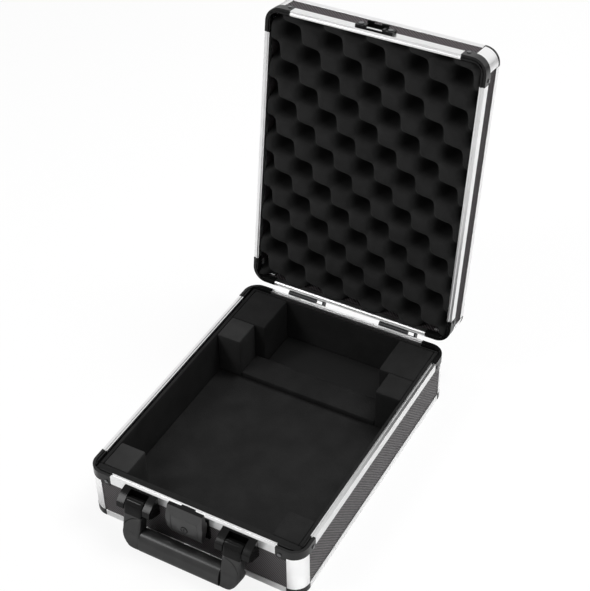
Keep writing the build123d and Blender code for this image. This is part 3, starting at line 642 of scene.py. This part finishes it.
def foam_mesh(name, boxes, round_mm):
    """One mesh of soft-edged foam blocks that fill these boxes."""
    form = bmesh.new()
    for low, high in boxes:
        add_block(form, low, high, round_mm)
    bmesh.ops.recalc_face_normals(form, faces=form.faces)
    form.normal_update()
    points = np.array([vertex.co for vertex in form.verts])
    depth = 0.5 + 0.5 * slow_noise(points, press_size_mm, press_seed)
    for vertex, value in zip(form.verts, np.clip(depth, 0, 1)):
        vertex.co -= vertex.normal * (float(value) * foam_press_mm * MM)
    mesh = bpy.data.meshes.new(name)
    form.to_mesh(mesh)
    form.free()
    all_smooth(mesh)
    return mesh


def solid_boxes(name):
    """Lowest and highest corners of each loose solid of a node, in a fixed order."""
    form = bmesh.new()
    form.from_mesh(frame["nodes"][name].data)
    bmesh.ops.remove_doubles(form, verts=form.verts, dist=weld_m)
    left = set(form.verts)
    boxes = []
    while left:
        todo, seen = [left.pop()], []
        while todo:
            vertex = todo.pop()
            seen.append(vertex.co.copy())
            for edge in vertex.link_edges:
                other = edge.other_vert(vertex)
                if other in left:
                    left.discard(other)
                    todo.append(other)
        points = np.array(seen)
        boxes.append((list(points.min(0)), list(points.max(0))))
    form.free()
    return sorted(boxes)


foam_nodes = [
    name for name in frame["nodes"] if slots[name] == "foam_dark" and name != "egg_crate_foam"
]
for name in foam_nodes:
    rounding = thin_round_mm if name == "foam_lining" else foam_round_mm
    mesh = foam_mesh(name + "_cut", solid_boxes(name), rounding)
    piece = piece_from(name + "_cut", mesh, "case", "foam_dark", name)
    if name in paler_pads:
        dress(piece, pad_foam)
print("foam pieces", len(foam_nodes))

# %% [markdown]
# ## Egg-crate foam
# Egg-crate foam is pressed between pegged rollers and sliced, which leaves staggered tips
# and pits in smooth waves. Two crossed cosines give exactly that lattice, one a little
# stronger than the other, so that low ridges run along one diagonal. A soft limiter
# broadens the tips and narrows the pits as in the real cut. The sheet is drawn in the
# shut lid, where its depth is simply a height, and then swung open with it.

# %% Egg-crate face
crate_pitch = (50.66, 45.75)
crate_origin = (0.97, 162.65)
crate_middle, crate_swing = 12.62, 12.1
crate_sharpness, crate_bias, crate_ridge = 2.0, -0.28, 0.07
crate_step_mm = 1.25
edge_drop_mm, edge_width_mm = 1.2, 2.0
_, foam_high = (Vector(corner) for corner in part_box("foam_lining"))
sheet_half = foam_high.xy / MM
half_depth_mm = 175.0


def crate_depth(x, v):
    """Depth of the foam's face below the closing plane, in millimetres."""
    turn_x = 2 * np.pi * (x - crate_origin[0]) / crate_pitch[0]
    turn_v = 2 * np.pi * (v - crate_origin[1]) / crate_pitch[1]
    lattice = (0.5 - crate_ridge) * np.cos(turn_x - turn_v)
    lattice += (0.5 + crate_ridge) * np.cos(turn_x + turn_v)
    low, high = (math.tanh(crate_sharpness * (end - crate_bias)) for end in (-1, 1))
    height = (np.tanh(crate_sharpness * (lattice - crate_bias)) - low) / (high - low)
    return crate_middle - crate_swing * (2 * height - 1)


columns, rows = (int(2 * half / crate_step_mm) for half in sheet_half)
across = np.linspace(-sheet_half.x, sheet_half.x, columns)
front_to_rear = np.linspace(half_depth_mm - sheet_half.y, half_depth_mm + sheet_half.y, rows)
grid_x, grid_v = np.meshgrid(across, front_to_rear)
to_edge = np.minimum(
    sheet_half.x - np.abs(grid_x), sheet_half.y - np.abs(grid_v - half_depth_mm),
)
depth = crate_depth(grid_x, grid_v)
depth = depth + edge_drop_mm * np.clip(1 - to_edge / edge_width_mm, 0, 1) ** 2
print("sheet", grid_x.shape, "depth", round(depth.min(), 2), "to", round(depth.max(), 2))

# %% [markdown]
# The face gets a back at the lid's board and a wall all round, so that the sheet is a
# closed body.

# %% Sheet mesh, swung open
lid_back_mm = 33.0
heights = closing_plane_mm + depth
face_points = np.stack([grid_x, half_depth_mm - grid_v, heights], -1).reshape(-1, 3)
rim = [(0, c) for c in range(columns)] + [(r, columns - 1) for r in range(1, rows)]
rim += [(rows - 1, c) for c in range(columns - 2, -1, -1)]
rim += [(r, 0) for r in range(rows - 2, 0, -1)]
rim = [r * columns + c for r, c in rim]
back_points = face_points[rim]
back_points[:, 2] = closing_plane_mm + lid_back_mm
points = np.vstack([face_points, back_points])
faces = [
    (r * columns + c, r * columns + c + 1, (r + 1) * columns + c + 1, (r + 1) * columns + c)
    for r in range(rows - 1) for c in range(columns - 1)
]
back = range(rows * columns, rows * columns + len(rim))
for number, corner in enumerate(rim):
    after = (number + 1) % len(rim)
    faces.append((corner, back[number], back[after], rim[after]))
faces.append(tuple(reversed(back)))
to_hinge = Matrix.Translation(hinge_point)
swing = to_hinge @ Matrix.Rotation(-open_angle, 4, "X") @ to_hinge.inverted()
mesh = bpy.data.meshes.new("egg_crate_sheet")
mesh.from_pydata([swing @ Vector(point * MM) for point in points], [], faces)
form = bmesh.new()
form.from_mesh(mesh)
bmesh.ops.recalc_face_normals(form, faces=form.faces)
form.to_mesh(mesh)
form.free()
all_smooth(mesh)
crate = piece_from("egg_crate_sheet", mesh, "lid", "foam_dark", "egg_crate_foam")
# The sheet wears the foam with painted shade in its pits.
dress(crate, pit_shaded_foam)
print("egg-crate faces", len(mesh.polygons))

# %% [markdown]
# ## Floor and light
# The case stands on plain pale paper under large soft lamps. The camera sees the paper
# mostly as its own even glow, so that it stays nearly white and keeps a faint shadow. The
# room around it is nearly white where the metal mirrors it, and a little darker overhead,
# but it lights the case only faintly. Lamps stay at a level where a colour looks about as
# it is written, and only the smallest of them shows as a glint in plastic and metal.

# %% Floor
floor_half, floor_gap_mm = 40.0, 0.3
paper_glow = 0.88
floor_mesh = bpy.data.meshes.new("floor")
quarters = ((-1, -1), (1, -1), (1, 1), (-1, 1))
floor_corners = [(floor_half * x, floor_half * y, 0) for x, y in quarters]
floor_mesh.from_pydata(floor_corners, [], [(0, 1, 2, 3)])
floor = bpy.data.objects.new("floor", floor_mesh)
bpy.context.scene.collection.objects.link(floor)
floor.location.z = -floor_gap_mm * MM
paper = bpy.data.materials.new("pale_paper")
paper.use_nodes = True
tree = paper.node_tree
shader = tree.nodes["Principled BSDF"]
shader.inputs["Base Color"].default_value = (0.9, 0.9, 0.9, 1)
shader.inputs["Roughness"].default_value = 0.9
shader.inputs["Specular IOR Level"].default_value = 0.1
white = add(tree, "Emission", Strength=1.0)
seen = add(tree, "LightPath").outputs
share = maths(tree, "MULTIPLY", seen["Is Camera Ray"], paper_glow)
mix = add(tree, "MixShader", Fac=share)
tree.links.new(shader.outputs["BSDF"], mix.inputs[1])
tree.links.new(white.outputs["Emission"], mix.inputs[2])
tree.links.new(mix.outputs["Shader"], tree.nodes["Material Output"].inputs["Surface"])
floor.data.materials.append(paper)
print("floor", floor_half * 2, "m")

# %% Room
ambient, mirror_level, mirror_ceiling = 0.24, 1.0, 0.9
world = bpy.data.worlds.new("room")
bpy.context.scene.world = world
world.use_nodes = True
tree = world.node_tree
room = tree.nodes["Background"]
room.inputs["Color"].default_value = (1, 1, 1, 1)
seen = add(tree, "LightPath").outputs
clear = maths(tree, "MAXIMUM", seen["Is Camera Ray"], seen["Is Transmission Ray"])
rise = height_of(tree, add(tree, "TexCoord").outputs["Generated"])
mirrored = spread(tree, rise, mirror_level, mirror_ceiling, 0.35, 0.85)
unseen = blend(tree, seen["Is Glossy Ray"], ambient, mirrored)
tree.links.new(blend(tree, clear, unseen, 1.0), room.inputs["Strength"])
print("room lights the case by", ambient)


# %% Lamps
def soft_lamp(name, place, size, power):
    """A large square lamp that looks at the middle of the case."""
    lamp = bpy.data.objects.new(name, bpy.data.lights.new(name, "AREA"))
    lamp.data.size = size
    lamp.data.energy = power
    lamp.location = place
    aim = Vector((0, 0.05, 0.1)) - Vector(place)
    lamp.rotation_euler = aim.to_track_quat("-Z", "Y").to_euler()
    bpy.context.scene.collection.objects.link(lamp)
    return lamp


for name, place, size, power, glints in (
    ("lamp_above", (0.5, 0.7, 1.9), 1.0, 36, False),
    ("lamp_front", (-1.0, -1.5, 1.3), 1.2, 6, False),
    ("lamp_glint", (-1.0, -0.9, 1.7), 0.5, 11, True),
):
    soft_lamp(name, place, size, power).visible_glossy = glints
print("lamps", len(bpy.data.lights))

# %% [markdown]
# ## Camera
# The straight edges of both trays fix the camera: their vanishing points give the lens
# and the angles, and the picture is a crop, so the lens is shifted a little.

# %% Camera at the photograph's angle
azimuth, elevation, roll = (math.radians(angle) for angle in (30.8416, 40.7856, -1.9514))
focal_px, picture_px = 1403.568, (590, 591)
principal_px = (270.568, 314.384)
sensor_mm = 36
camera_place = Vector((0.569507, -0.954204, 1.157728))
level_right = Vector((math.cos(azimuth), math.sin(azimuth), 0))
away = Vector((math.sin(azimuth), -math.cos(azimuth), 0))
back = away * math.cos(elevation) + Vector((0, 0, math.sin(elevation)))
level_up = back.cross(level_right)
right = math.cos(roll) * level_right + math.sin(roll) * level_up
up = -math.sin(roll) * level_right + math.cos(roll) * level_up
turn = Matrix((right, up, back)).transposed().to_4x4()
camera = bpy.data.objects.new("camera", bpy.data.cameras.new("camera"))
bpy.context.scene.collection.objects.link(camera)
camera.matrix_world = Matrix.Translation(camera_place) @ turn
camera.data.sensor_width = sensor_mm
camera.data.lens = sensor_mm * focal_px / picture_px[1]
camera.data.shift_x = (picture_px[0] / 2 - principal_px[0]) / picture_px[1]
camera.data.shift_y = (principal_px[1] - picture_px[1] / 2) / picture_px[1]
camera.data.clip_end = 20
bpy.context.scene.camera = camera
bpy.context.scene.view_settings.view_transform = "Standard"
print("lens", round(camera.data.lens, 2), "mm")

# %% [markdown]
# ## Finish
# The scene is brought up to date at the end. The dressed case may not outgrow the
# measured one.

# %% Finish
bpy.context.view_layer.update()
